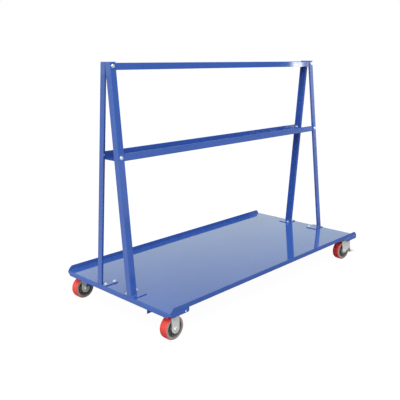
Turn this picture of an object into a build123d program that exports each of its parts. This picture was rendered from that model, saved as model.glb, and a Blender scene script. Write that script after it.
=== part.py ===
from build123d import *
import os
from math import acos, atan2, cos, sin, pi, sqrt

# ---------------------------------------------------------------- sizes, mm
IN = 25.4

# deck: one sheet, long sides turned up, short ends turned down
DECK_L = 72 * IN
DECK_W = 36 * IN
SHEET = 2.7
CASTER_H = 6.5 * IN                 # floor to the underside of the deck
LIP_H = 27.0                        # lip above the deck's top face
FLANGE_H = 27.0                     # end flange below the deck's top face
BEND_IN = 3.0
BEND_OUT = BEND_IN + SHEET
LIP_CUT = 27.0                      # cut-off corner at each lip's end
FLANGE_CUT = 23.0                   # cut-off corner at each end flange's end
FLANGE_HALF = DECK_W / 2 - 1.2

Z_UNDER = CASTER_H
Z_DECK = Z_UNDER + SHEET

# stiffeners under the deck, equal angle
STIFF = 2 * IN
STIFF_T = 3.2
STIFF_Y = 271.7                     # inner face of the standing leg

# corner bars under the deck's long edges
BAR_IN_X = 779.0                    # inner end
BAR_T = 3.2
BAR_LOW = 24.7                      # below the deck's top face
BAR_GROOVE = 1.0                    # bar's outer face stops this far below the deck's underside
BAR_R_IN = 10.0                     # lower corner at the inner end
BAR_R_OUT = 15.0                    # lower corner at the outer end
BAR_HOLE_X = 802.5
BAR_HOLE_Z = 17.0                   # below the deck's top face
BAR_HOLE_D = 11.0

# A frame: equal angle legs
ANGLE = 1.5 * IN
ANGLE_T = 3.175
ANGLE_ROOT = 4.8
FRAME_H = 1242.0                    # above the deck's top face
Y_FOOT = 153.5                      # leg's outer corner at the deck
Y_TOP = 38.6                        # leg's outer corner at the top

# foot plates
FOOT_T = 4.8
FOOT_X0 = 820.0
FOOT_Y0 = 83.0
FOOT_Y1 = 171.0
FOOT_BOLT_X = (836.0, 898.0)
FOOT_BOLT_Y = 98.0

# mid tray and top bar, above the deck's top face
RAIL_HALF = 907.0                   # half length of both
TRAY_Z = 729.0
TRAY_H = 39.0
TOP_Z = 1237.0
TOP_H = 37.0
RAIL_BEND_IN = 1.5
RAIL_BEND_OUT = RAIL_BEND_IN + SHEET
BOLT_X = DECK_L / 2 - ANGLE / 2
TRAY_BOLT_Z = 749.0
TOP_BOLT_Z = 1220.5

# 3/8 in fasteners
BOLT_R = 4.76
HOLE_R = 5.2
HEAD_AF = 14.3
HEAD_H = 6.0
NUT_H = 8.3
WASH_R = 10.3
WASH_T = 1.6
TAIL = 3.0                          # thread beyond the nut

# casters, 5 in by 2 in wheels
WHEEL_R = 2.5 * IN
WHEEL_W = 2 * IN
CASTER_X = 852.0                    # plate centre
CASTER_Y = 398.0
LEAD = 41.0                         # swivel axis to axle
PLATE_L = 4.5 * IN
PLATE_W = 4.0 * IN
PLATE_T = 6.35
STUD_X = 42.0
STUD_Y = 35.0
STUD_END = 18.6
SLOT_L = 18.4
FORK_OUT = 34.0                     # fork's half width, outside
FORK_T = 5.5
FORK_R = 25.4                       # round lower end of the fork
AXLE_R = 6.35
AXLE_AF = 19.05
AXLE_HEAD = 7.9
AXLE_NUT = 11.1
SLEEVE_R = 9.5
RUN = 0.05                          # running clearance
HUB_R = 24.0
HUB_BORE = 15.0
HUB_HALF = 27.5
WEB_HALF = 5.0
DISH_R = 37.0                       # web's outer radius, foot of the dished recess
RIM_IN = 46.5                       # recess's edge on the wheel's side
CROWN_R = 9.0                       # rounding of the wheel's corner, rim and tread together
TREAD_DEG = 70                      # tread's share of that rounding, from the running face
LIP_IN = 4.0                        # depth of the rim's lip beside the tread
SEAT_R = 54.0                       # floor of the rim's channel, under the tread
SEAT_HALF = 18.5
RIB_H = 15.5
RIB_T = 5.2
N_RIBS = 8

# swivel and brake
CROWN_Z0 = 131.5
CROWN_Z1 = 138.0
CUP_Z = 142.3
CUP_RIM_Z = 148.0
CUP_R = 34.0
BALL_R = 3.95
BALL_PCR = 25.5
N_BALLS = 18
BOSS_Z = 150.6
BOSS_R = 33.0
KING_R = 8.0
KING_Z = 122.5
KING_NUT_AF = 22.2
KING_NUT_H = 7.0
YOKE_FRONT = 21.0                   # yoke's edge ahead of the swivel axis
YOKE_BACK = 25.0                    # yoke's edge behind the axle, at the top
YOKE_SHOULDER = 120.0               # below this the yoke's back edge tapers
YOKE_R = 15.0                       # round lower end of the yoke
YOKE_KNEE = 77.0
PIN_X = 12.0                        # brake pin ahead of the swivel axis
PIN_Z = 115.0
PIN_R = 3.9
PEDAL_X = 940.0                     # pedal's end, from the deck's centre
LEVER_T = 3.4

TURN_FRONT = -8.0                   # front right caster's turn about its swivel axis, degrees
TURN_BACK = 0.0                     # back right caster's

EDGE = 0.6                          # broken edges of sheet and plate

LEAN = atan2(Y_FOOT - Y_TOP, FRAME_H)
HX, HY = DECK_L / 2, DECK_W / 2

parts = {}


# ---------------------------------------------------------------- helpers
def box(x0, x1, y0, y1, z0, z1):
    return Pos((x0 + x1) / 2, (y0 + y1) / 2, (z0 + z1) / 2) * Box(abs(x1 - x0), abs(y1 - y0), abs(z1 - z0))


def cyl_y(x, z, r, y0, y1):
    return Pos(x, (y0 + y1) / 2, z) * Rot(90, 0, 0) * Cylinder(r, abs(y1 - y0))


def cyl_z(x, y, r, z0, z1):
    return Pos(x, y, (z0 + z1) / 2) * Cylinder(r, abs(z1 - z0))


def prism_x(pts, x0, x1):
    """polygon of (y, z) points drawn out along X"""
    return extrude(Plane.YZ.offset(x0) * Polygon(*pts, align=None), amount=x1 - x0, dir=(1, 0, 0))


def prism_y(pts, y0, y1):
    """polygon of (x, z) points drawn out along Y"""
    return extrude(Plane((0, y1, 0), x_dir=(1, 0, 0), z_dir=(0, -1, 0)) * Polygon(*pts, align=None), amount=y1 - y0, dir=(0, -1, 0))


def hexagon(af, h):
    """hexagonal prism on Z from 0 to h, with a turned chamfer on the free end"""
    r = af / sqrt(3)
    body = extrude(RegularPolygon(r, 6), amount=h)
    c = 0.09 * af
    cone = Pos(0, 0, h / 2) * Cylinder(r + 0.001, h)
    cone = chamfer(cone.edges().group_by(Axis.Z)[-1], length=c * 0.55, length2=c)
    return body & cone


def nut(af, h, bore):
    return hexagon(af, h) - Pos(0, 0, h / 2) * Cylinder(bore, h + 2)


def washer(r, bore, t):
    return Pos(0, 0, t / 2) * (Cylinder(r, t) - Cylinder(bore, t + 2))


def edges_at(shape, axis, tests):
    """edges along an axis whose middle is near one of the given points of the other two coordinates"""
    out = []
    for e in shape.edges().filter_by(axis):
        c = e.center()
        v = {"X": (c.Y, c.Z), "Y": (c.X, c.Z), "Z": (c.X, c.Y)}["XYZ"[[abs(q) > 0.5 for q in axis.direction].index(True)]]
        if any(abs(v[0] - t[0]) < 0.05 and abs(v[1] - t[1]) < 0.05 for t in tests):
            out.append(e)
    return out


def mirror_x(s):
    return mirror(s, about=Plane.YZ)


def mirror_y(s):
    return mirror(s, about=Plane.XZ)


def solids(shape_list):
    out = []
    for s in shape_list:
        out += list(s.solids())
    return out


# ---------------------------------------------------------------- deck
u = prism_x([(-HY, Z_UNDER), (HY, Z_UNDER), (HY, Z_DECK + LIP_H), (HY - SHEET, Z_DECK + LIP_H), (HY - SHEET, Z_DECK),
             (-HY + SHEET, Z_DECK), (-HY + SHEET, Z_DECK + LIP_H), (-HY, Z_DECK + LIP_H)], -HX + BEND_OUT, HX - BEND_OUT)
u = fillet(edges_at(u, Axis.X, [(-HY, Z_UNDER), (HY, Z_UNDER)]), BEND_OUT)
u = fillet(edges_at(u, Axis.X, [(-HY + SHEET, Z_DECK), (HY - SHEET, Z_DECK)]), BEND_IN)
xe = HX - BEND_OUT
for s in (1, -1):
    # cut corner of the lips, with a soft upper end
    zc = Z_DECK + BEND_IN + 1.5
    cut = prism_y([(s * (xe + 1), zc), (s * xe, zc), (s * (xe - 14.5), Z_DECK + 20.8),
                   (s * (xe - 20), Z_DECK + 24.8), (s * (xe - LIP_CUT), Z_DECK + LIP_H), (s * (xe - LIP_CUT), Z_DECK + LIP_H + 5),
                   (s * (xe + 1), Z_DECK + LIP_H + 5)], -HY - 1, HY + 1)
    u -= cut
    # turned-down end
    e = prism_y([(s * (xe - 0.5), Z_UNDER), (s * (xe - 0.5), Z_DECK), (s * HX, Z_DECK), (s * HX, Z_DECK - FLANGE_H),
                 (s * (HX - SHEET), Z_DECK - FLANGE_H), (s * (HX - SHEET), Z_UNDER)], -FLANGE_HALF, FLANGE_HALF)
    e = fillet(edges_at(e, Axis.Y, [(s * HX, Z_DECK)]), BEND_OUT)
    e = fillet(edges_at(e, Axis.Y, [(s * (HX - SHEET), Z_UNDER)]), BEND_IN)
    for t in (1, -1):
        e -= prism_x([(t * (FLANGE_HALF + 1), Z_UNDER - 1.5), (t * FLANGE_HALF, Z_UNDER - 1.5),
                      (t * (FLANGE_HALF - FLANGE_CUT), Z_DECK - FLANGE_H - 0.01),
                      (t * (FLANGE_HALF + 1), Z_DECK - FLANGE_H - 0.01)], s * (HX - 8) if s > 0 else -HX - 1, HX + 1 if s > 0 else -HX + 8)
    e = fillet([k for k in e.edges().filter_by(Axis.Y) if abs(k.center().Z - Z_DECK + FLANGE_H) < 0.02], EDGE)
    u += e
u = fillet([k for k in u.edges() if min(v.Z for v in k.vertices()) > Z_DECK + BEND_IN + 1.4
            and abs(abs(k.center().Y) - HY + SHEET / 2) > SHEET / 2 - 0.01], EDGE)
for sx in (1, -1):
    for sy in (1, -1):
        for x in FOOT_BOLT_X:
            u -= cyl_z(sx * x, sy * FOOT_BOLT_Y, HOLE_R, Z_UNDER - 5, Z_DECK + 5)
deck = u
parts["deck"] = deck

# ---------------------------------------------------------------- stiffeners
st = prism_x([(-STIFF_Y, Z_UNDER), (-STIFF_Y, Z_UNDER - STIFF), (-STIFF_Y - STIFF_T, Z_UNDER - STIFF),
              (-STIFF_Y - STIFF_T, Z_UNDER - STIFF_T), (-STIFF_Y - STIFF, Z_UNDER - STIFF_T), (-STIFF_Y - STIFF, Z_UNDER)],
             -HX + SHEET + BEND_IN + 0.3, HX - SHEET - BEND_IN - 0.3)
st = fillet(edges_at(st, Axis.X, [(-STIFF_Y - STIFF_T, Z_UNDER - STIFF_T)]), 4.0)
st = fillet(edges_at(st, Axis.X, [(-STIFF_Y - STIFF_T, Z_UNDER - STIFF), (-STIFF_Y - STIFF, Z_UNDER - STIFF_T)]), 2.0)
parts["stiffener_front"] = st
parts["stiffener_back"] = mirror_y(st)

# ---------------------------------------------------------------- corner bars
bx0, bx1 = BAR_IN_X, HX - SHEET - 0.5
bar = prism_x([(-HY, Z_DECK - BAR_LOW), (-HY + BAR_T, Z_DECK - BAR_LOW), (-HY + BAR_T, Z_UNDER - BAR_GROOVE + 1.1 * BAR_T),
               (-HY, Z_UNDER - BAR_GROOVE)], bx0, bx1)
bar = fillet(edges_at(bar, Axis.Y, [(bx0, Z_DECK - BAR_LOW)]), BAR_R_IN)
bar = fillet(edges_at(bar, Axis.Y, [(bx1, Z_DECK - BAR_LOW)]), BAR_R_OUT)
bar = fillet([e for e in bar.edges() if e.center().Z < Z_UNDER - 4 and abs(abs(e.center().Y + HY - BAR_T / 2) - BAR_T / 2) < 0.02], EDGE)
bar -= cyl_y(BAR_HOLE_X, Z_DECK - BAR_HOLE_Z, BAR_HOLE_D / 2, -HY - 1, -HY + BAR_T + 1)
# the bar's bevelled top runs into the deck's bend and ends on the deck's own surface
bar = bar - deck
bar = max(bar.solids(), key=lambda s: s.volume)
parts["corner_bar_front_right"] = bar
parts["corner_bar_front_left"] = mirror_x(bar)
parts["corner_bar_back_right"] = mirror_y(bar)
parts["corner_bar_back_left"] = mirror_y(mirror_x(bar))

# ---------------------------------------------------------------- feet
foot = box(FOOT_X0, HX, -FOOT_Y1, -FOOT_Y0, Z_DECK, Z_DECK + FOOT_T)
foot = fillet(foot.edges().filter_by(Axis.Z), 4.0)
foot = chamfer(foot.edges().group_by(Axis.Z)[-1], 0.6)
for x in FOOT_BOLT_X:
    foot -= cyl_z(x, -FOOT_BOLT_Y, HOLE_R, Z_DECK - 1, Z_DECK + FOOT_T + 1)
parts["foot_front_right"] = foot
parts["foot_front_left"] = mirror_x(foot)
parts["foot_back_right"] = mirror_y(foot)
parts["foot_back_left"] = mirror_y(mirror_x(foot))


# ---------------------------------------------------------------- legs
def y_at(h, inset=0.0):
    """front leg's outer face at height h above the deck, moved in by inset square to the face"""
    return -(Y_FOOT + (Y_TOP - Y_FOOT) * h / FRAME_H) + inset / cos(LEAN)


h0, h1 = FOOT_T, FRAME_H
leg = prism_x([(y_at(h0), Z_DECK + h0), (y_at(h1), Z_DECK + h1), (y_at(h1, ANGLE_T), Z_DECK + h1), (y_at(h0, ANGLE_T), Z_DECK + h0)],
              HX - ANGLE, HX)
leg += prism_x([(y_at(h0), Z_DECK + h0), (y_at(h1), Z_DECK + h1), (y_at(h1, ANGLE), Z_DECK + h1), (y_at(h0, ANGLE), Z_DECK + h0)],
               HX - ANGLE_T, HX)
hm = (h0 + h1) / 2


def leg_edges(x, inset):
    """long edges at x whose middle is inset from the leg's outer face"""
    return [e for e in leg.edges() if e.length > 1000
            and abs(e.center().X - x) < 0.05 and abs(e.center().Y - y_at(hm, inset)) < 0.05]


leg = fillet(leg_edges(HX, 0), 2.6)
leg = fillet(leg_edges(HX - ANGLE_T, ANGLE_T), ANGLE_ROOT)
leg = fillet(leg_edges(HX - ANGLE, ANGLE_T) + leg_edges(HX - ANGLE_T, ANGLE), 1.8)
n_out = (0, -cos(LEAN), sin(LEAN))


def bolt_plane(h, x=BOLT_X):
    """on the leg's outer face, Z outward"""
    return Plane((x, y_at(h), Z_DECK + h), x_dir=(1, 0, 0), z_dir=n_out)


for h in (TRAY_BOLT_Z, TOP_BOLT_Z):
    leg -= bolt_plane(h) * Cylinder(HOLE_R, 30)
parts["leg_front_right"] = leg
parts["leg_front_left"] = mirror_x(leg)
parts["leg_back_right"] = mirror_y(leg)
parts["leg_back_left"] = mirror_y(mirror_x(leg))

# ---------------------------------------------------------------- mid tray, open at the top
a0, a1 = TRAY_Z, TRAY_Z + TRAY_H


def w(h, i):
    return -y_at(h, ANGLE_T + i)


tray = prism_x([(-w(a0, 0), Z_DECK + a0), (w(a0, 0), Z_DECK + a0), (w(a1, 0), Z_DECK + a1), (w(a1, SHEET), Z_DECK + a1),
                (w(a0 + SHEET, SHEET), Z_DECK + a0 + SHEET), (-w(a0 + SHEET, SHEET), Z_DECK + a0 + SHEET),
                (-w(a1, SHEET), Z_DECK + a1), (-w(a1, 0), Z_DECK + a1)], -RAIL_HALF, RAIL_HALF)
tray = fillet(edges_at(tray, Axis.X, [(-w(a0, 0), Z_DECK + a0), (w(a0, 0), Z_DECK + a0)]), RAIL_BEND_OUT)
tray = fillet(edges_at(tray, Axis.X, [(-w(a0 + SHEET, SHEET), Z_DECK + a0 + SHEET), (w(a0 + SHEET, SHEET), Z_DECK + a0 + SHEET)]), RAIL_BEND_IN)
tray = fillet([e for e in tray.edges().filter_by(Axis.X) if e.center().Z > Z_DECK + a1 - 0.02], EDGE)
# ---------------------------------------------------------------- top bar, open below
b1, b0 = TOP_Z, TOP_Z - TOP_H
top = prism_x([(-w(b1, 0), Z_DECK + b1), (w(b1, 0), Z_DECK + b1), (w(b0, 0), Z_DECK + b0), (w(b0, SHEET), Z_DECK + b0),
               (w(b1 - SHEET, SHEET), Z_DECK + b1 - SHEET), (-w(b1 - SHEET, SHEET), Z_DECK + b1 - SHEET),
               (-w(b0, SHEET), Z_DECK + b0), (-w(b0, 0), Z_DECK + b0)], -RAIL_HALF, RAIL_HALF)
top = fillet(edges_at(top, Axis.X, [(-w(b1, 0), Z_DECK + b1), (w(b1, 0), Z_DECK + b1)]), RAIL_BEND_OUT)
top = fillet(edges_at(top, Axis.X, [(-w(b1 - SHEET, SHEET), Z_DECK + b1 - SHEET), (w(b1 - SHEET, SHEET), Z_DECK + b1 - SHEET)]), RAIL_BEND_IN)
top = fillet([e for e in top.edges().filter_by(Axis.X) if e.center().Z < Z_DECK + b0 + 0.02], EDGE)
for sx in (1, -1):
    for sy in (1, -1):
        t = bolt_plane(TRAY_BOLT_Z, sx * BOLT_X) * Cylinder(HOLE_R, 30)
        p = bolt_plane(TOP_BOLT_Z, sx * BOLT_X) * Cylinder(HOLE_R, 30)
        tray -= t if sy > 0 else mirror_y(t)
        top -= p if sy > 0 else mirror_y(p)
parts["mid_tray"] = tray
parts["top_bar"] = top


# ---------------------------------------------------------------- frame and foot fasteners
def bolt(length, af=HEAD_AF, head=HEAD_H, r=BOLT_R):
    """head from 0 up, shank down"""
    s = hexagon(af, head) + Pos(0, 0, -length / 2) * Cylinder(r, length)
    return chamfer(s.edges().group_by(Axis.Z)[0], 0.8)


grip = ANGLE_T + SHEET
f_bolts, f_nuts, washers = [], [], []
b_one = bolt(grip + 2 * WASH_T + NUT_H + TAIL)
n_one = nut(HEAD_AF, NUT_H, BOLT_R)
w_one = washer(WASH_R, HOLE_R, WASH_T)
flip = Rot(180, 0, 0)
for h in (TRAY_BOLT_Z, TOP_BOLT_Z):
    for sx in (1, -1):
        pl = bolt_plane(h, sx * BOLT_X)
        bo = pl * Pos(0, 0, WASH_T) * b_one
        w1 = pl * w_one
        w2 = pl * Pos(0, 0, -grip - WASH_T) * w_one
        nu = pl * Pos(0, 0, -grip - WASH_T) * flip * n_one
        for back in (0, 1):
            f = mirror_y if back else (lambda s: s)
            f_bolts.append(f(bo))
            f_nuts.append(f(nu))
            washers += [f(w1), f(w2)]
ft_bolts, ft_nuts = [], []
grip2 = FOOT_T + SHEET
b_two = bolt(grip2 + 2 * WASH_T + NUT_H + TAIL)
for sx in (1, -1):
    for sy in (1, -1):
        for x in FOOT_BOLT_X:
            at = Pos(sx * x, sy * FOOT_BOLT_Y, Z_DECK + FOOT_T)
            turn = Rot(0, 0, 17 * sx + 31 * sy + x)
            ft_bolts.append(at * Pos(0, 0, WASH_T) * turn * b_two)
            washers += [at * w_one, at * Pos(0, 0, -grip2 - WASH_T) * w_one]
            ft_nuts.append(at * Pos(0, 0, -grip2 - WASH_T) * flip * n_one)
parts["frame_bolts"] = f_bolts
parts["frame_nuts"] = f_nuts
parts["foot_bolts"] = ft_bolts
parts["foot_nuts"] = ft_nuts
parts["washers"] = washers

# ---------------------------------------------------------------- caster studs and nuts
studs, stud_nuts = [], []
stud = Pos(0, 0, -STUD_END / 2) * Cylinder(BOLT_R, STUD_END)
stud = chamfer(stud.edges().group_by(Axis.Z)[0], 0.8)
for sx in (1, -1):
    for sy in (1, -1):
        for i in (1, -1):
            for j in (1, -1):
                x, y = sx * CASTER_X + i * STUD_X, sy * CASTER_Y + j * STUD_Y
                studs.append(Pos(x, y, Z_UNDER) * stud)
                stud_nuts.append(Pos(x, y, Z_UNDER - PLATE_T) * flip * Rot(0, 0, 20 * i + 9 * j) * n_one)
parts["caster_studs"] = studs
parts["caster_nuts"] = stud_nuts

# ---------------------------------------------------------------- wheel, drawn at the origin, axis on Y


def turned(pts):
    """polygon of (radius, y) points turned about Y"""
    return revolve(Plane.XY * Polygon(*pts, align=None), Axis.Y, 360)


def lathe(curve):
    """closed curve of (radius, y) turned about Y"""
    return revolve(make_face(curve), Axis.Y, 360)


# the wheel's corner is one arc: the tread has most of it, the rim the rest
RIM_HALF = WHEEL_W / 2
kr, ky = WHEEL_R - CROWN_R, RIM_HALF - CROWN_R


def crown(deg, s, r=CROWN_R):
    return (kr + r * cos(deg * pi / 180), s * (ky + r * sin(deg * pi / 180)))


side_in = [(HUB_R, HUB_HALF), (HUB_R + 2.5, WEB_HALF), (DISH_R, WEB_HALF), (RIM_IN, RIM_HALF), (kr, RIM_HALF)]
seat = [crown(TREAD_DEG, -1), crown(TREAD_DEG, -1, CROWN_R - LIP_IN), (SEAT_R, -SEAT_HALF),
        (SEAT_R, SEAT_HALF), crown(TREAD_DEG, 1, CROWN_R - LIP_IN), crown(TREAD_DEG, 1)]
rim_mid, tread_mid = (90 + TREAD_DEG) / 2, TREAD_DEG / 2
core = lathe(Polyline((HUB_BORE, -HUB_HALF), *[(r, -y) for r, y in side_in])
             + ThreePointArc((kr, -RIM_HALF), crown(rim_mid, -1), crown(TREAD_DEG, -1))
             + Polyline(*seat)
             + ThreePointArc(crown(TREAD_DEG, 1), crown(rim_mid, 1), (kr, RIM_HALF))
             + Polyline(*reversed(side_in), (HUB_BORE, HUB_HALF), (HUB_BORE, -HUB_HALF)))


def rings(shape, y, r):
    """circular edges at height y on either side, of radius r"""
    return [e for e in shape.edges().filter_by(GeomType.CIRCLE) if abs(abs(e.center().Y) - y) < 0.02 and abs(e.radius - r) < 0.05]


core = fillet(rings(core, WEB_HALF, DISH_R), 4.0)
core = fillet(rings(core, WEB_HALF, HUB_R + 2.5), 2.5)
for i in range(N_RIBS):
    for s in (1, -1):
        rib = box(HUB_R - 2, RIM_IN + 2, (WEB_HALF - 1) * s, RIB_H * s, -RIB_T / 2, RIB_T / 2)
        core += Rot(0, i * 360 / N_RIBS + 11, 0) * rib
core = fillet(rings(core, HUB_HALF, HUB_R), 1.2)
core = fillet([e for e in core.edges().filter_by(GeomType.LINE) if abs(abs(e.center().Y) - RIB_H) < 0.02 and e.length > 5.5], 1.0)
core = fillet(rings(core, RIM_HALF, RIM_IN), 1.2)
tread = lathe(Polyline(*seat)
              + ThreePointArc(crown(TREAD_DEG, 1), crown(tread_mid, 1), crown(0, 1))
              + Line(crown(0, 1), crown(0, -1))
              + ThreePointArc(crown(0, -1), crown(tread_mid, -1), crown(TREAD_DEG, -1)))
bearing = turned([(SLEEVE_R + RUN, -26.5), (SLEEVE_R + 1.4, -26.5), (SLEEVE_R + 1.9, -25.5), (HUB_BORE - 1.6, -25.5),
                  (HUB_BORE - 1.2, -26.5), (HUB_BORE, -26.5), (HUB_BORE, 26.5), (HUB_BORE - 1.2, 26.5), (HUB_BORE - 1.6, 25.5),
                  (SLEEVE_R + 1.9, 25.5), (SLEEVE_R + 1.4, 26.5), (SLEEVE_R + RUN, 26.5)])
FORK_IN = FORK_OUT - FORK_T
sleeve = turned([(AXLE_R, -FORK_IN), (SLEEVE_R, -FORK_IN), (SLEEVE_R, FORK_IN), (AXLE_R, FORK_IN)])
# axle bolt: head towards -Y
axle_len = 2 * FORK_OUT + AXLE_NUT + TAIL
axle = Pos(0, -FORK_OUT, 0) * Rot(90, 0, 0) * bolt(axle_len, AXLE_AF, AXLE_HEAD, AXLE_R)
axle_nut = Pos(0, FORK_OUT, 0) * Rot(-90, 0, 0) * Rot(0, 0, 14) * nut(AXLE_AF, AXLE_NUT, AXLE_R)


def plate_with_slots():
    p = box(-PLATE_L / 2, PLATE_L / 2, -PLATE_W / 2, PLATE_W / 2, Z_UNDER - PLATE_T, Z_UNDER)
    p = fillet(p.edges().filter_by(Axis.Z), 9.0)
    p = chamfer(p.edges().group_by(Axis.Z)[0] + p.edges().group_by(Axis.Z)[-1], 0.8)
    for i in (1, -1):
        for j in (1, -1):
            p -= Pos(i * STUD_X, j * STUD_Y, Z_UNDER - PLATE_T / 2) * extrude(SlotOverall(SLOT_L, 2 * HOLE_R), amount=10, both=True)
    return p


# ---------------------------------------------------------------- rigid casters, drawn at the plate's centre
def u_section(x0, x1, z_in, z_out, low):
    s = prism_x([(-FORK_OUT, low), (-FORK_IN, low), (-FORK_IN, z_in), (FORK_IN, z_in), (FORK_IN, low), (FORK_OUT, low),
                 (FORK_OUT, z_out), (-FORK_OUT, z_out)], x0, x1)
    s = fillet(edges_at(s, Axis.X, [(-FORK_OUT, z_out), (FORK_OUT, z_out)]), 7.0)
    return fillet(edges_at(s, Axis.X, [(-FORK_IN, z_in), (FORK_IN, z_in)]), 1.5)


rigid_plate = plate_with_slots()
WEB_TOP = Z_UNDER - PLATE_T
fork = u_section(-40, 40, WEB_TOP - 6.0, WEB_TOP, 20)
side = [(-FORK_R, WHEEL_R), (-FORK_R, 128), (-32, 146), (-32, WEB_TOP + 1), (32, WEB_TOP + 1), (32, 146), (FORK_R, 128), (FORK_R, WHEEL_R)]
outline = prism_y(side, -50, 50) + cyl_y(0, WHEEL_R, FORK_R, -50, 50)
fork = fork & outline
fork = fillet([e for e in fork.edges() if abs(abs(e.center().Y) - FORK_OUT) < 0.02 and e.center().Z < 140], EDGE)
fork -= cyl_y(0, WHEEL_R, AXLE_R + 0.1, -60, 60)
fork = fork.solids()[0]
UPW = Pos(0, 0, WHEEL_R)
for side_name, sy in (("front", -1), ("back", 1)):
    at = Pos(-CASTER_X, sy * CASTER_Y, 0)
    parts[f"rigid_plate_{side_name}_left"] = at * rigid_plate
    parts[f"rigid_fork_{side_name}_left"] = at * fork
    n = f"{side_name}_left"
    parts[f"wheel_core_{n}"] = at * UPW * core
    parts[f"tread_{n}"] = at * UPW * tread
    parts[f"bearing_{n}"] = at * UPW * bearing
two = [Pos(-CASTER_X, sy * CASTER_Y, WHEEL_R) for sy in (-1, 1)]
parts["rigid_axle_bolts"] = [p * axle for p in two]
parts["rigid_axle_nuts"] = [p * axle_nut for p in two]
parts["rigid_sleeves"] = [p * sleeve for p in two]

# ---------------------------------------------------------------- swivel casters, drawn with the swivel axis on Z, axle at -LEAD
swivel_plate = plate_with_slots()
boss = cyl_z(0, 0, BOSS_R, BOSS_Z, Z_UNDER - PLATE_T)
boss = chamfer(boss.edges().group_by(Axis.Z)[0], 1.5)
king = cyl_z(0, 0, KING_R, KING_Z, BOSS_Z)
king = chamfer(king.edges().group_by(Axis.Z)[0], 1.2)
swivel_plate = swivel_plate + boss + king
king_nut = Pos(0, 0, CROWN_Z0 - 0.3) * flip * nut(KING_NUT_AF, KING_NUT_H, KING_R)
balls = [Rot(0, 0, i * 360 / N_BALLS) * Pos(BALL_PCR, 0, CUP_Z + 0.35 + BALL_R) * Sphere(BALL_R) for i in range(N_BALLS)]

# yoke side: back edge upright then tapering, round end about the axle, slanted edge up to the knee, front edge upright
cx, cz = -LEAD, WHEEL_R
qx, qz = YOKE_FRONT, YOKE_KNEE
d = sqrt((qx - cx) ** 2 + (qz - cz) ** 2)
a_q = atan2(qz - cz, qx - cx)
a_t = a_q - acos(YOKE_R / d)
tx, tz = cx + YOKE_R * cos(a_t), cz + YOKE_R * sin(a_t)
bx, bz = cx - YOKE_BACK, YOKE_SHOULDER
a_b = atan2(bz - cz, bx - cx) + acos(YOKE_R / sqrt((bx - cx) ** 2 + (bz - cz) ** 2))
ux, uz = cx + YOKE_R * cos(a_b), cz + YOKE_R * sin(a_b)
am = (a_b + a_t + 2 * pi) / 2
mx, mz = cx + YOKE_R * cos(am), cz + YOKE_R * sin(am)
pl = Plane((0, 60, 0), x_dir=(1, 0, 0), z_dir=(0, -1, 0))
curve = (Polyline((ux, uz), (bx, bz), (bx, CROWN_Z1 + 2), (qx, CROWN_Z1 + 2), (qx, qz), (tx, tz))
         + ThreePointArc((tx, tz), (mx, mz), (ux, uz)))
yoke_out = extrude(make_face(pl * curve), amount=120, dir=(0, -1, 0))
yoke = u_section(cx - YOKE_BACK - 5, qx + 5, CROWN_Z0, CROWN_Z1, 20) & yoke_out
yoke = fillet([e for e in yoke.edges() if abs(abs(e.center().Y) - FORK_OUT) < 0.02 and e.center().Z < 128], EDGE)
cup = cyl_z(0, 0, CUP_R, CROWN_Z1 - 1.5, CUP_RIM_Z) - cyl_z(0, 0, CUP_R - 4.0, CUP_Z, CUP_RIM_Z + 1)
# the cup overhangs the crown's front edge a little, as a pressed ring does
yoke = yoke + cup
yoke -= cyl_z(0, 0, KING_R + RUN, 100, 160)
yoke -= cyl_y(cx, cz, AXLE_R + 0.1, -60, 60)
yoke -= cyl_y(PIN_X, PIN_Z, PIN_R, -60, 60)
yoke = yoke.solids()[0]

# brake pin with riveted ends
pin = cyl_y(PIN_X, PIN_Z, PIN_R, -FORK_OUT, FORK_OUT)
for s in (1, -1):
    pin += cyl_y(PIN_X, PIN_Z, 6.2, s * FORK_OUT, s * (FORK_OUT + 2.4))
pin = fillet([e for e in pin.edges().filter_by(GeomType.CIRCLE) if abs(abs(e.center().Y) - FORK_OUT - 2.4) < 0.01], 1.2)

# brake lever: two ears on the pin, a plate down outside the tread, a pedal with a raised step, and a shoe facing the tread
PX = PEDAL_X - CASTER_X
path = [(PIN_X + 9.5, PIN_Z - 4.5), (PIN_X + 19.5, PIN_Z - 35), (PIN_X + 27.5, PIN_Z - 78.5), (PIN_X + 50, PIN_Z - 71.5), (PX, 34.5)]


def strip(p, q, t, y0, y1):
    L = sqrt((q[0] - p[0]) ** 2 + (q[1] - p[1]) ** 2)
    nx, nz = -(q[1] - p[1]) / L * t / 2, (q[0] - p[0]) / L * t / 2
    return prism_y([(p[0] + nx, p[1] + nz), (q[0] + nx, q[1] + nz), (q[0] - nx, q[1] - nz), (p[0] - nx, p[1] - nz)], y0, y1)


LW = 25.0
lever = strip(path[0], path[1], LEVER_T, -LW, LW) + strip(path[1], path[2], LEVER_T, -LW, LW) + strip(path[2], path[3], LEVER_T, -LW, LW)
# the pedal ends square at its stated reach
ped = strip(path[3], (PX + 5, path[4][1] - 5 * (path[3][1] - path[4][1]) / (PX - path[3][0])), LEVER_T, -LW, LW)
ped = ped & box(0, PX, -100, 100, 0, 200)
ped = fillet(ped.edges().filter_by(lambda e: abs(e.center().X - PX) < 0.8 and abs(abs(e.center().Y) - LW) < 0.01), 8.0)
lever += ped
for p in path[:4]:
    lever += cyl_y(p[0], p[1], LEVER_T / 2, -LW, LW)
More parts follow.
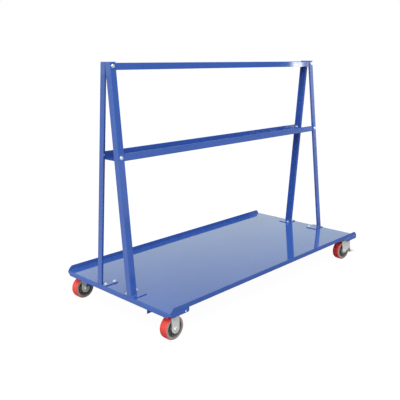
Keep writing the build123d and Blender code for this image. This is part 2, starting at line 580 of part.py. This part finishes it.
# rolled edge under the pedal's end
lever += cyl_y(PX - 2.6, path[4][1] - 0.2, 2.6, -LW + 9, LW - 9)
for s in (1, -1):
    y0, y1 = sorted((s * 23.4, s * 26.6))
    ear = cyl_y(PIN_X, PIN_Z, 8.5, y0, y1)
    ear += prism_y([(PIN_X - 6.5, PIN_Z - 5.2), (PIN_X + 6.0, PIN_Z + 6.0), (PIN_X + 11.5, PIN_Z - 4), (PIN_X + 21, PIN_Z - 34.5),
                    (PIN_X + 18, PIN_Z - 34.5)], y0, y1)
    lever += ear
# shoe
r0, r1 = WHEEL_R + 3.6, WHEEL_R + 10.0
shoe = Pos(cx, 0, cz) * Rot(0, -30, 0) * box(r0, r1, -18, 18, -7.5, 7.5)
shoe = fillet(shoe.edges().filter_by(Axis.Y), 1.0)
lever += shoe
lever -= cyl_y(PIN_X, PIN_Z, PIN_R + RUN, -40, 40)
lever = lever.solids()[0]

for side_name, sy, turn in (("front", -1, TURN_FRONT), ("back", 1, TURN_BACK)):
    at = Pos(CASTER_X, sy * CASTER_Y, 0)
    n = f"{side_name}_right"
    parts[f"swivel_plate_{n}"] = at * swivel_plate
    at = at * Rot(0, 0, turn)
    parts[f"yoke_{n}"] = at * yoke
    parts[f"brake_pin_{n}"] = at * pin
    parts[f"brake_lever_{n}"] = at * lever
    ax = at * Pos(-LEAD, 0, WHEEL_R)
    parts[f"axle_bolt_{n}"] = ax * axle
    parts[f"axle_nut_{n}"] = ax * axle_nut
    parts[f"sleeve_{n}"] = ax * sleeve
    parts[f"wheel_core_{n}"] = ax * core
    parts[f"tread_{n}"] = ax * tread
    parts[f"bearing_{n}"] = ax * bearing
both = [Pos(CASTER_X, sy * CASTER_Y, 0) for sy in (-1, 1)]
parts["king_nuts"] = [p * king_nut for p in both]
parts["swivel_balls"] = [p * b for p in both for b in balls]

# ---------------------------------------------------------------- write
os.makedirs("parts", exist_ok=True)
# the origin is the middle of the whole object's footprint, on the floor
reach = max(parts[f"brake_lever_{n}_right"].bounding_box().max.X for n in ("front", "back"))
move = Pos(-(reach - (CASTER_X + WHEEL_R)) / 2, 0, 0)
for name, shape in parts.items():
    if isinstance(shape, list):
        out = Compound(children=[move * s for s in solids(shape)])
    else:
        out = move * shape
    export_step(out, f"parts/{name}.step")
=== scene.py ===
import math

import bmesh
import bpy
from mathutils import Matrix, Vector


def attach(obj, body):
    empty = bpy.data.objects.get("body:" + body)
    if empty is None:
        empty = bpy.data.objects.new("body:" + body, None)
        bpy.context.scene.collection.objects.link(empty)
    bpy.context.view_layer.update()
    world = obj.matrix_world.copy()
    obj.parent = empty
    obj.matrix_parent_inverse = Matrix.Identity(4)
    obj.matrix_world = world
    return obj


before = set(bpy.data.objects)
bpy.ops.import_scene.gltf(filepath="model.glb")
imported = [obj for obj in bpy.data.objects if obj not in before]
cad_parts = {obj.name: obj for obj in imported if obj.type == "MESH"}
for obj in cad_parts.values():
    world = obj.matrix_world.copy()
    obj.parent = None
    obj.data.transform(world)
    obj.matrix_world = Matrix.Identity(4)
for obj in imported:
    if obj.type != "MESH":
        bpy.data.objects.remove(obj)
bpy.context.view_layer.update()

scene = bpy.context.scene

# ---------------------------------------------------------------- the part's own measures, metres
SHIFT_X = -0.01304369                  # deck's middle, from the origin
HX, HY = 0.9144, 0.4572             # deck's half length and half width
Z_UNDER, Z_DECK = 0.1651, 0.1678
FOOT_T = 0.0048
ANGLE, ANGLE_T = 0.0381, 0.003175
FRAME_H, Y_FOOT, Y_TOP = 1.242, 0.1535, 0.0386
LEAN = math.atan2(Y_FOOT - Y_TOP, FRAME_H)
STIFF_Y, STIFF, STIFF_T = 0.2717, 0.0508, 0.0032
BAR_X0, BAR_T = 0.779, 0.0032
CASTER_X, CASTER_Y = 0.852, 0.398
PLATE_T, FORK_OUT = 0.00635, 0.034

# ---------------------------------------------------------------- camera
YAW, PITCH, ROLL = 0.8196168, 0.1877192, -0.0042562
FOCAL_PX, CX, CY, SIDE = 575.3987, 217.4156, 169.7630, 400.0
fwd = Vector((math.cos(PITCH) * math.sin(YAW), math.cos(PITCH) * math.cos(YAW), -math.sin(PITCH)))
right = Vector((math.cos(YAW), -math.sin(YAW), 0.0))
up = right.cross(fwd)
r2 = math.cos(ROLL) * right + math.sin(ROLL) * up
u2 = -math.sin(ROLL) * right + math.cos(ROLL) * up
cam_data = bpy.data.cameras.new("camera")
cam_data.sensor_width = 36.0
cam_data.lens = FOCAL_PX * 36.0 / SIDE
cam_data.shift_x = (SIDE / 2 - CX) / SIDE
cam_data.shift_y = (CY - SIDE / 2) / SIDE
cam_data.clip_start, cam_data.clip_end = 0.05, 200.0
cam = bpy.data.objects.new("camera", cam_data)
scene.collection.objects.link(cam)
m = Matrix((r2, u2, -fwd)).transposed().to_4x4()
m.translation = Vector((-2.7115528 + SHIFT_X, -2.4633164, 1.2460511 + Z_DECK))
cam.matrix_world = m
scene.camera = cam

# ---------------------------------------------------------------- light
scene.view_settings.view_transform = "Standard"
scene.view_settings.look = "None"
world = bpy.data.worlds.new("studio")
scene.world = world
world.use_nodes = True
wt = world.node_tree
wt.nodes.clear()


def wnode(kind, inputs=None, **attrs):
    n = wt.nodes.new(kind)
    for k, v in attrs.items():
        setattr(n, k, v)
    for k, v in (inputs or {}).items():
        if isinstance(v, bpy.types.NodeSocket):
            wt.links.new(v, n.inputs[k])
        else:
            n.inputs[k].default_value = v
    return n


# a bright cyclorama behind, a dim ceiling and sides, soft glows from the front and the left and the darkest corner at the front right
sky = wnode("ShaderNodeTexCoord").outputs["Generated"]
axes = wnode("ShaderNodeSeparateXYZ", {"Vector": sky}).outputs
wall = wnode("ShaderNodeMapRange", {"Value": axes["Z"], "From Min": 0.18, "From Max": 0.66, "To Min": 1.75, "To Max": 0.3},
             interpolation_type="SMOOTHSTEP").outputs["Result"]
east = wnode("ShaderNodeMapRange", {"Value": axes["X"], "From Min": 0.40, "From Max": 0.85, "To Min": 1.02, "To Max": 0.82},
             interpolation_type="SMOOTHSTEP").outputs["Result"]
west = wnode("ShaderNodeMapRange", {"Value": axes["X"], "From Min": 0.10, "From Max": -0.55, "To Min": 1.0, "To Max": 0.72},
             interpolation_type="SMOOTHSTEP").outputs["Result"]
wall = wnode("ShaderNodeMath", {0: wall, 1: east}, operation="MULTIPLY").outputs[0]
wall = wnode("ShaderNodeMath", {0: wall, 1: west}, operation="MULTIPLY").outputs[0]
behind = wnode("ShaderNodeMapRange", {"Value": axes["Y"], "From Min": -0.15, "From Max": 0.36, "To Min": 0.0, "To Max": 1.0},
               interpolation_type="SMOOTHSTEP").outputs["Result"]
toward = wnode("ShaderNodeVectorMath", {0: sky, 1: (0.80, -0.58, 0.12)}, operation="DOT_PRODUCT").outputs["Value"]
corner = wnode("ShaderNodeMapRange", {"Value": toward, "From Min": 0.45, "From Max": 0.9, "To Min": 0.45, "To Max": 0.16},
               interpolation_type="SMOOTHSTEP").outputs["Result"]
lit = wnode("ShaderNodeMix", {"Factor": behind, "A": corner, "B": wall}, data_type="FLOAT").outputs["Result"]
top = wnode("ShaderNodeMapRange", {"Value": axes["Z"], "From Min": 0.55, "From Max": 0.85, "To Min": 0.0, "To Max": 0.8},
            interpolation_type="SMOOTHSTEP").outputs["Result"]
over = wnode("ShaderNodeMapRange", {"Value": axes["Y"], "From Min": 0.1, "From Max": 0.4, "To Min": 1.0, "To Max": 0.0},
             interpolation_type="SMOOTHSTEP").outputs["Result"]
top = wnode("ShaderNodeMath", {0: top, 1: over}, operation="MULTIPLY").outputs[0]
lit = wnode("ShaderNodeMath", {0: lit, 1: top}, operation="ADD").outputs[0]
front = wnode("ShaderNodeVectorMath", {0: sky, 1: (-0.20, -0.96, 0.20)}, operation="DOT_PRODUCT").outputs["Value"]
front = wnode("ShaderNodeMapRange", {"Value": front, "From Min": 0.56, "From Max": 0.97, "To Min": 0.0, "To Max": 1.0},
              interpolation_type="SMOOTHSTEP").outputs["Result"]
lit = wnode("ShaderNodeMath", {0: lit, 1: front}, operation="ADD").outputs[0]
left = wnode("ShaderNodeVectorMath", {0: sky, 1: (-0.92, -0.25, 0.30)}, operation="DOT_PRODUCT").outputs["Value"]
left = wnode("ShaderNodeMapRange", {"Value": left, "From Min": 0.60, "From Max": 0.97, "To Min": 0.0, "To Max": 1.05},
             interpolation_type="SMOOTHSTEP").outputs["Result"]
lit = wnode("ShaderNodeMath", {0: lit, 1: left}, operation="ADD").outputs[0]
cream = wnode("ShaderNodeMapRange", {"Value": axes["X"], "From Min": 0.0, "From Max": 0.45, "To Min": 0.0, "To Max": 1.0},
              interpolation_type="SMOOTHSTEP").outputs["Result"]
low = wnode("ShaderNodeMapRange", {"Value": axes["Z"], "From Min": 0.42, "From Max": 0.55, "To Min": 1.0, "To Max": 0.0}).outputs["Result"]
cream = wnode("ShaderNodeMath", {0: cream, 1: behind}, operation="MULTIPLY").outputs[0]
cream = wnode("ShaderNodeMath", {0: cream, 1: low}, operation="MULTIPLY").outputs[0]
tint = wnode("ShaderNodeMix", {"Factor": cream}, data_type="RGBA")
tint.inputs[6].default_value, tint.inputs[7].default_value = (0.98, 1.0, 1.0, 1.0), (1.0, 1.06, 0.74, 1.0)
room = wnode("ShaderNodeBackground", {"Color": tint.outputs[2], "Strength": lit})
paper = wnode("ShaderNodeBackground", {"Color": (1.0, 1.0, 1.0, 1.0), "Strength": 1.0})
seen = wnode("ShaderNodeLightPath").outputs["Is Camera Ray"]
both = wnode("ShaderNodeMixShader", {0: seen, 1: room.outputs[0], 2: paper.outputs[0]})
wnode("ShaderNodeOutputWorld", {"Surface": both.outputs[0]})


def softbox(name, at, aim, size, size_y, power):
    data = bpy.data.lights.new(name, "AREA")
    data.shape = "RECTANGLE"
    data.size, data.size_y = size, size_y
    data.energy = power
    o = bpy.data.objects.new(name, data)
    scene.collection.objects.link(o)
    o.location = at
    o.rotation_mode = "QUATERNION"
    o.rotation_quaternion = (Vector(aim) - Vector(at)).to_track_quat("-Z", "Y")
    return o


softbox("key", (-3.2, -4.6, 6.4), (0.0, 0.0, 0.4), 4.5, 4.5, 210.0)
softbox("back", (0.4, 2.6, 6.4), (0.2, 0.3, 0.2), 4.0, 3.0, 90.0)
softbox("strip", (3.82, -2.20, 1.81), (0.66, 0.0, 1.385), 0.14, 0.26, 1.5)
softbox("panel", (4.164, -1.878, 1.1), (0.8, 0.0, 1.0), 0.7, 2.2, 10.0)


# ---------------------------------------------------------------- materials
class Mat:
    """a node material with one principled shader"""

    def __init__(self, name):
        self.m = bpy.data.materials.new(name)
        self.m.use_nodes = True
        self.t = self.m.node_tree
        self.t.nodes.clear()
        self.out = self.t.nodes.new("ShaderNodeOutputMaterial")
        self.b = self.t.nodes.new("ShaderNodeBsdfPrincipled")
        self.t.links.new(self.b.outputs["BSDF"], self.out.inputs["Surface"])
        self.co = self.t.nodes.new("ShaderNodeTexCoord").outputs["Object"]

    def node(self, kind, inputs=None, **attrs):
        n = self.t.nodes.new(kind)
        for k, v in attrs.items():
            setattr(n, k, v)
        for k, v in (inputs or {}).items():
            if isinstance(v, bpy.types.NodeSocket):
                self.t.links.new(v, n.inputs[k])
            else:
                n.inputs[k].default_value = v
        return n

    def set(self, **vals):
        for k, v in vals.items():
            s = self.b.inputs[k.replace("_", " ")]
            if isinstance(v, bpy.types.NodeSocket):
                self.t.links.new(v, s)
            else:
                s.default_value = v

    def stretch(self, sx, sy, sz):
        return self.node("ShaderNodeMapping", {"Vector": self.co, "Scale": (sx, sy, sz)}).outputs["Vector"]

    def noise(self, scale, detail=2.0, rough=0.5, vec=None, distort=0.0):
        return self.node("ShaderNodeTexNoise", {"Vector": vec or self.co, "Scale": scale, "Detail": detail,
                                                "Roughness": rough, "Distortion": distort}).outputs["Fac"]

    def cells(self, scale, vec=None, feature="F1"):
        return self.node("ShaderNodeTexVoronoi", {"Vector": vec or self.co, "Scale": scale}, feature=feature)

    def remap(self, v, a, b, c=0.0, d=1.0, smooth=False):
        return self.node("ShaderNodeMapRange", {"Value": v, "From Min": a, "From Max": b, "To Min": c, "To Max": d},
                         interpolation_type="SMOOTHSTEP" if smooth else "LINEAR").outputs["Result"]

    def math(self, op, a, b=0.0, clamp=False):
        n = self.node("ShaderNodeMath", operation=op, use_clamp=clamp)
        for i, v in enumerate((a, b)):
            if isinstance(v, bpy.types.NodeSocket):
                self.t.links.new(v, n.inputs[i])
            else:
                n.inputs[i].default_value = v
        return n.outputs[0]

    def mix(self, f, a, b):
        n = self.node("ShaderNodeMix", data_type="RGBA")
        for key, v in (("Factor_Float", f), ("A_Color", a), ("B_Color", b)):
            s = next(i for i in n.inputs if i.identifier == key)
            if isinstance(v, bpy.types.NodeSocket):
                self.t.links.new(v, s)
            else:
                s.default_value = v if key == "Factor_Float" else (*v, 1.0)
        return next(o for o in n.outputs if o.identifier == "Result_Color")

    def bump(self, height, dist, strength=1.0, after=None):
        ins = {"Height": height, "Distance": dist, "Strength": strength}
        if after is not None:
            ins["Normal"] = after
        return self.node("ShaderNodeBump", ins).outputs["Normal"]

    def edge(self, radius):
        """1 near outside edges, 0 on flats"""
        bev = self.node("ShaderNodeBevel", {"Radius": radius}, samples=4).outputs["Normal"]
        geo = self.node("ShaderNodeNewGeometry").outputs["Normal"]
        dot = self.node("ShaderNodeVectorMath", {0: bev, 1: geo}, operation="DOT_PRODUCT").outputs["Value"]
        return self.remap(dot, 0.995, 0.86, 0.0, 1.0)


def powder(name, rough, peel, wave):
    """glossy powder coat: slow shade drift, orange peel, lighter edges that are a painted edge highlight, partly thin
    paint on the edge
    """
    k = Mat(name)
    big = k.noise(2.3, 3.0, 0.55)
    mid = k.noise(34.0, 3.0, 0.6)
    drift = k.math("ADD", k.math("MULTIPLY", big, 0.65), k.math("MULTIPLY", mid, 0.35))
    col = k.mix(k.remap(drift, 0.34, 0.66, smooth=True), (0.034, 0.093, 0.358), (0.039, 0.103, 0.392))
    # painted highlight: lighter blue along outside edges, broken up by noise, partly thin paint at the edge
    edge_highlight_thin_paint = k.math("MULTIPLY", k.edge(0.0016), k.remap(k.noise(55.0, 3.0, 0.65), 0.38, 0.62, 0.25, 1.0))
    col = k.mix(k.math("MULTIPLY", edge_highlight_thin_paint, 0.42), col, (0.115, 0.215, 0.56))
    fleck = k.remap(k.cells(260.0).outputs["Distance"], 0.035, 0.10, 1.0, 0.0)
    keep = k.remap(k.noise(21.0, 1.0), 0.56, 0.66)
    fleck = k.math("MULTIPLY", fleck, keep)
    col = k.mix(k.math("MULTIPLY", fleck, 0.16), col, (0.16, 0.25, 0.55))
    k.set(Base_Color=col)
    haze = k.remap(k.noise(7.0, 4.0, 0.6, k.stretch(0.5, 2.2, 2.2)), 0.3, 0.75, -0.02, 0.05)
    fine = k.remap(mid, 0.3, 0.7, -0.015, 0.02)
    k.set(Roughness=k.math("ADD", k.math("ADD", haze, fine), rough, clamp=True))
    n1 = k.bump(k.noise(3.2, 1.0), wave)
    n2 = k.bump(k.noise(330.0, 2.0, 0.45), peel, 1.0, n1)
    k.set(Normal=n2)
    k.set(IOR=1.5)
    return k.m


def zinc(name, base=(0.80, 0.82, 0.81), warm=(0.80, 0.79, 0.74), rough=0.36, grain=(1.0, 1.0, 1.0), metal=0.45):
    """bright zinc plate over steel: faint warm clouds, fine grain, duller patches"""
    k = Mat(name)
    cloud = k.noise(38.0, 4.0, 0.6, None, 0.4)
    patch = k.cells(420.0).outputs["Color"]
    patch = k.node("ShaderNodeSeparateColor", {"Color": patch}).outputs["Red"]
    col = k.mix(k.remap(cloud, 0.35, 0.7, 0.0, 0.75, True), base, warm)
    col = k.mix(k.remap(patch, 0.0, 1.0, 0.0, 0.16), col, (0.38, 0.39, 0.40))
    # painted highlight: lighter along outside edges
    col = k.mix(k.math("MULTIPLY", k.edge(0.0009), 0.35), col, (0.86, 0.86, 0.84))
    k.set(Base_Color=col, Metallic=metal)
    streak = k.noise(900.0, 2.0, 0.5, k.stretch(*grain))
    k.set(Roughness=k.math("ADD", k.remap(cloud, 0.3, 0.7, rough - 0.05, rough + 0.09), k.remap(streak, 0.3, 0.7, -0.04, 0.05)))
    n1 = k.bump(k.noise(60.0, 2.0), 0.00018)
    k.set(Normal=k.bump(streak, 0.00003, 1.0, n1))
    return k.m


def cast(name):
    """grey cast metal: sandy skin, with painted shade in the pockets and a painted highlight on the rim and edges"""
    k = Mat(name)
    skin = k.noise(520.0, 4.0, 0.65)
    cloud = k.noise(45.0, 3.0, 0.6)
    col = k.mix(k.remap(cloud, 0.3, 0.7, smooth=True), (0.22, 0.215, 0.205), (0.31, 0.305, 0.295))
    pits = k.remap(k.cells(700.0).outputs["Distance"], 0.05, 0.22, 1.0, 0.0)
    col = k.mix(k.math("MULTIPLY", pits, 0.35), col, (0.12, 0.118, 0.112))
    # painted highlight: lighter along outside edges
    col = k.mix(k.math("MULTIPLY", k.edge(0.0015), 0.5), col, (0.52, 0.51, 0.49))
    box = k.node("ShaderNodeSeparateXYZ", {0: k.node("ShaderNodeTexCoord").outputs["Generated"]}).outputs
    dx, dz = k.math("SUBTRACT", box["X"], 0.5), k.math("SUBTRACT", box["Z"], 0.5)
    r = k.math("SQRT", k.math("ADD", k.math("MULTIPLY", dx, dx), k.math("MULTIPLY", dz, dz)))
    # painted shade: the web between hub and rim is darkened, as if in shade inside the pockets
    pocket_shade_mask = k.math("MULTIPLY", k.remap(r, 0.20, 0.23, smooth=True), k.remap(r, 0.43, 0.40, smooth=True))
    col = k.mix(k.math("MULTIPLY", pocket_shade_mask, 0.6), col, (0.07, 0.066, 0.064))
    # painted highlight: lighter towards the rim's outer edge
    col = k.mix(k.remap(r, 0.40, 0.43, 0.0, 0.35, True), col, (0.50, 0.485, 0.47))
    k.set(Base_Color=col, Metallic=0.25)
    k.set(Roughness=k.remap(skin, 0.3, 0.7, 0.42, 0.60))
    n1 = k.bump(skin, 0.00012)
    k.set(Normal=k.bump(pits, -0.00006, 1.0, n1))
    return k.m


def urethane(name):
    """red polyurethane: slightly translucent, satin, faint scuffs and mould grain"""
    k = Mat(name)
    cloud = k.noise(30.0, 3.0, 0.6)
    grain = k.noise(800.0, 3.0, 0.6)
    col = k.mix(k.remap(cloud, 0.3, 0.7, smooth=True), (0.72, 0.040, 0.028), (0.80, 0.056, 0.038))
    dust = k.math("MULTIPLY", k.remap(k.noise(160.0, 4.0, 0.7), 0.58, 0.74), 0.14)
    col = k.mix(dust, col, (0.62, 0.30, 0.25))
    k.set(Base_Color=col)
    k.set(Roughness=k.math("ADD", k.remap(cloud, 0.3, 0.7, 0.30, 0.38), k.remap(grain, 0.3, 0.7, -0.03, 0.06)))
    k.set(Subsurface_Weight=0.08, Subsurface_Scale=0.004, IOR=1.5)
    k.set(Subsurface_Radius=(1.0, 0.15, 0.08))
    n1 = k.bump(k.noise(120.0, 2.0), 0.00012)
    k.set(Normal=k.bump(grain, 0.00004, 1.0, n1))
    return k.m


M_DECK = powder("powder_coat_deck", 0.055, 0.000008, 0.00030)
M_BLUE = powder("powder_coat", 0.04, 0.000007, 0.00012)
M_TRAY = powder("powder_coat_tray", 0.17, 0.000010, 0.00012)
M_ZINC = zinc("zinc_plate")
M_FAST = zinc("zinc_fastener", (0.80, 0.86, 0.94), (0.79, 0.83, 0.88), 0.22, metal=0.7)
M_STEEL = zinc("bearing_steel", (0.50, 0.50, 0.50), (0.46, 0.45, 0.42), 0.22, (1.0, 0.05, 1.0), 1.0)
M_CAST = cast("cast_core")
M_RED = urethane("red_urethane")


def material_for(n):
    if n == "deck":
        return M_DECK
    if n == "mid_tray":
        return M_TRAY
    if n.startswith(("stiffener", "corner_bar", "leg_", "foot_front", "foot_back", "top_bar")):
        return M_BLUE
    if n.startswith("wheel_core"):
        return M_CAST
    if n.startswith("tread"):
        return M_RED
    if n.startswith(("bearing", "sleeve", "rigid_sleeves", "swivel_balls")):
        return M_STEEL
    if n.endswith(("bolts", "nuts", "washers", "studs")) and not n.startswith("rigid_axle") or n.startswith("brake_pin"):
        return M_FAST
    return M_ZINC


for n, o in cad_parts.items():
    o.data.materials.clear()
    o.data.materials.append(material_for(n))


# ---------------------------------------------------------------- weld beads
def beads(name, runs, mat):
    """each run is (start, end, side a, side b, leg): a convex bead in the corner of sides a and b, rippled, with tapered ends"""
    bm = bmesh.new()
    for k, (p0, p1, a, b, leg) in enumerate(runs):
        p0, p1 = Vector(p0), Vector(p1)
        a, b = Vector(a).normalized(), Vector(b).normalized()
        length = (p1 - p0).length
        n = max(12, int(length / 0.0009))
        rings = []
        for i in range(n + 1):
            s = length * i / n
            f = (s / 0.0031 + 0.37 * k) % 1.0
            size = leg * (0.86 + 0.14 * (4 * f * (1 - f)) + 0.05 * math.sin(2.1 * k + 270.0 * s) + 0.03 * math.sin(5.3 * k + 890.0 * s))
            size *= 0.25 + 0.75 * math.sqrt(min(1.0, min(s, length - s) / (1.3 * leg)))
            c = p0.lerp(p1, i / n)
            ring = [bm.verts.new(c - 0.0003 * (a + b))]
            for j in range(8):
                t = math.pi / 2 * j / 7
                ring.append(bm.verts.new(c + a * (size * math.cos(t) ** 1.5 - 0.0003 * (j == 7)) + b * (size * math.sin(t) ** 1.5 - 0.0003 * (j == 0))))
            rings.append(ring)
        for q, r in zip(rings, rings[1:]):
            for j in range(9):
                bm.faces.new((q[j], q[(j + 1) % 9], r[(j + 1) % 9], r[j]))
        bm.faces.new(rings[0])
        bm.faces.new(list(reversed(rings[-1])))
    bmesh.ops.recalc_face_normals(bm, faces=bm.faces)
    me = bpy.data.meshes.new(name)
    bm.to_mesh(me)
    bm.free()
    for q in me.polygons:
        q.use_smooth = True
    me.materials.append(mat)
    o = bpy.data.objects.new(name, me)
    scene.collection.objects.link(o)
    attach(o, "frame")
    return o


def leg_y(h, inset=0.0):
    """front leg's outer face at height h above the deck, moved in by inset"""
    return -(Y_FOOT + (Y_TOP - Y_FOOT) * h / FRAME_H) + inset / math.cos(LEAN)


zf = Z_DECK + FOOT_T
legs, stiff, bars, forks = [], [], [], []
for sy in (1, -1):
    # sy 1 is the front, whose y is negative
    rise = (0.0, sy * math.sin(LEAN), math.cos(LEAN))
    for sx in (1, -1):
        def at(x, y, z):
            return (SHIFT_X + sx * x, sy * y, z)
        x0, x1 = HX - ANGLE, HX
        legs.append((at(x0 + 0.002, leg_y(FOOT_T), zf), at(x1 - 0.004, leg_y(FOOT_T), zf), rise, (0, -sy, 0), 0.0048))
        yi = leg_y(FOOT_T, ANGLE_T)
        legs.append((at(x0 + 0.003, yi, zf), at(x1 - ANGLE_T - 0.004, yi, zf), rise, (0, sy, 0), 0.0042))
        legs.append((at(x1 - ANGLE_T, yi + 0.005, zf), at(x1 - ANGLE_T, leg_y(FOOT_T, ANGLE) - 0.002, zf), rise, (-sx, 0, 0), 0.0042))
        for xa, xb in ((0.788, 0.826), (0.862, 0.902)):
            bars.append((at(xa, -HY + BAR_T, Z_UNDER + 0.0003), at(xb, -HY + BAR_T, Z_UNDER + 0.0003), (0, sy, 0), (0, 0, -1), 0.0042))
    for i in range(9):
        x = SHIFT_X - 0.80 + 0.20 * i
        yt, yh = -sy * (STIFF_Y + STIFF), -sy * STIFF_Y
        stiff.append(((x - 0.02, yt, Z_UNDER), (x + 0.02, yt, Z_UNDER), (0, -sy, 0), (0, 0, -1), 0.0030))
        if i < 8:
            stiff.append(((x + 0.08, yh, Z_UNDER), (x + 0.12, yh, Z_UNDER), (0, sy, 0), (0, 0, -1), 0.0042))
    cx, cy, zp = SHIFT_X - CASTER_X, -sy * CASTER_Y, Z_UNDER - PLATE_T
    for t in (1, -1):
        y = cy + t * (FORK_OUT - 0.0055)
        forks.append(((cx - 0.028, y, zp), (cx + 0.028, y, zp), (0, t, 0), (0, 0, -1), 0.0056))
        x = cx + t * 0.032
        forks.append(((x, cy - 0.024, zp), (x, cy + 0.024, zp), (t, 0, 0), (0, 0, -1), 0.0046))
beads("weld_legs", legs, M_BLUE)
beads("weld_stiffeners", stiff, M_BLUE)
beads("weld_corner_bars", bars, M_BLUE)
beads("weld_forks", forks, M_ZINC)


# ---------------------------------------------------------------- floor
def floor():
    me = bpy.data.meshes.new("floor")
    n, rad = 64, 60.0
    v = [(rad * math.cos(2 * math.pi * i / n), rad * math.sin(2 * math.pi * i / n), 0.0) for i in range(n)]
    me.from_pydata(v, [], [list(range(n))])
    o = bpy.data.objects.new("floor", me)
    scene.collection.objects.link(o)
    k = Mat("floor_paper")
    k.set(Base_Color=k.mix(k.noise(3.0, 3.0), (0.29, 0.29, 0.29), (0.31, 0.31, 0.31)), Roughness=0.75)
    k.set(Specular_IOR_Level=0.1)
    # painted light: the floor glows on the left towards the back and far off on the right, though no lamp is there, and
    # lights the parts near it
    at = k.node("ShaderNodeSeparateXYZ", {"Vector": k.co}).outputs
    lit = k.math("MULTIPLY", k.remap(at["X"], -0.95, -1.25, smooth=True), k.remap(at["Y"], -0.75, 0.05, smooth=True))
    far = k.math("MULTIPLY", k.remap(at["X"], 1.5, 2.5, smooth=True), k.remap(at["Y"], -0.4, -1.2, smooth=True))
    lit = k.math("ADD", k.math("MULTIPLY", lit, 0.5), k.math("MULTIPLY", far, 0.6))
    k.set(Emission_Color=(1.0, 1.0, 1.0, 1.0), Emission_Strength=lit)
    glow = k.node("ShaderNodeEmission", {"Color": (1.0, 1.0, 1.0, 1.0), "Strength": 1.18}).outputs[0]
    seen = k.math("MULTIPLY", k.node("ShaderNodeLightPath").outputs["Is Camera Ray"], 0.82)
    both = k.node("ShaderNodeMixShader", {0: seen, 1: k.b.outputs[0], 2: glow})
    k.t.links.new(both.outputs[0], k.out.inputs["Surface"])
    me.materials.append(k.m)


floor()
